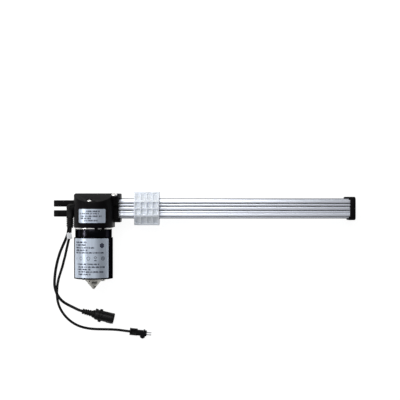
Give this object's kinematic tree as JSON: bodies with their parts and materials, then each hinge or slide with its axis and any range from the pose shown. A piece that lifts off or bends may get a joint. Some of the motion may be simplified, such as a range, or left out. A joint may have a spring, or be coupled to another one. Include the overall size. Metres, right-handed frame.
{
  "type": "linear actuator",
  "caption": "Rail-type linear actuator: worm gear motor with a rear fork, grooved aluminium rail, lead-screw driven nylon slider, end cap, and handset and power cords with connectors.",
  "frame": {"origin": "centre of the rear fork's pin hole, midway between the two ears", "axes": "+X along the rail towards the end cap, +Y along the fork's pin hole, away from the motor, +Z out of the domed front of the gearbox"},
  "size_m": [0.4723, 0.2308, 0.0743],
  "materials": {
    "black_plastic": "satin moulded black, fine texture",
    "black_paint": "gloss black enamel on steel",
    "silver_label": "satin silver film with grey marks",
    "zinc": "die-cast zinc, as cast",
    "screw_steel": "zinc-plated steel",
    "core_steel": "laminated core steel",
    "ferrite": "matt sintered",
    "brown_laminate": "satin phenolic laminate",
    "bronze": "oil-soaked sintered bronze",
    "copper": "varnished copper",
    "ivory_plastic": "satin acetal",
    "rail_aluminium": "satin anodised extrusion",
    "board_green": "solder-masked board",
    "milky_nylon": "milky translucent nylon, satin",
    "black_rubber": "satin PVC",
    "connector_black": "semi-gloss moulded black",
    "contact_gold": "gold-flashed contacts",
    "white_tag": "matt white wrap-round tag"
  },
  "bodies": {
    "housing": {"front_cover": "black_plastic", "rear_housing": "black_plastic", "housing_screws": "screw_steel", "cover_screws": "screw_steel", "gearbox_label": "silver_label", "rear_fork": "black_plastic", "fork_bushes": "screw_steel", "flange_plate": "screw_steel", "flange_screws": "screw_steel", "motor_can": "black_paint", "flux_ring": "black_paint", "motor_label": "silver_label", "magnets": "ferrite", "brush_plate": "brown_laminate", "brushes": "ferrite", "end_bell": "zinc", "motor_bush": "bronze", "worm_bush": "bronze", "motor_bolts": "screw_steel", "bearing_outer_races": "screw_steel", "bearing_balls": "screw_steel", "rail": "rail_aluminium", "end_cap": "black_plastic", "end_bush": "bronze", "end_cap_screws": "screw_steel", "limit_board": "board_green", "limit_switches": "black_plastic", "cord_boot": "black_rubber", "cord_tag": "white_tag", "handset_cord": "black_rubber", "din_boot": "black_rubber", "din_shell": "connector_black", "din_ring": "connector_black", "din_insert": "connector_black", "din_contacts": "contact_gold", "power_cord": "black_rubber", "plug_body": "connector_black", "plug_pins": "screw_steel"},
    "armature": {"motor_shaft": "screw_steel", "worm": "screw_steel", "armature_core": "core_steel", "windings": "copper", "commutator": "copper", "motor_inner_race": "screw_steel"},
    "screw": {"lead_screw": "screw_steel", "worm_wheel": "ivory_plastic", "wheel_key": "screw_steel", "screw_inner_races": "screw_steel"},
    "carriage": {"slider": "milky_nylon", "drive_nut": "ivory_plastic", "slider_inserts": "screw_steel", "nut_screws": "screw_steel"}
  },
  "joints": [
    {"name": "motor_spin", "type": "hinge", "parent": "housing", "child": "armature", "pos_m": [0.054, 0, 0.022], "axis": [0, -1, 0], "range_deg": [-24719, 343679]},
    {"name": "screw_spin", "type": "hinge", "parent": "housing", "child": "screw", "pos_m": [0, 0, 0], "axis": [1, 0, 0], "range_deg": [-17184, 1236]},
    {"name": "carriage_slide", "type": "slide", "parent": "housing", "child": "carriage", "axis": [1, 0, 0], "range_m": [-0.0206, 0.2864]}
  ],
  "couplings": [
    {"joint": "screw_spin", "follows": "motor_spin", "ratio": -0.05},
    {"joint": "carriage_slide", "follows": "motor_spin", "m_per_rad": 0.000047746}
  ]
}
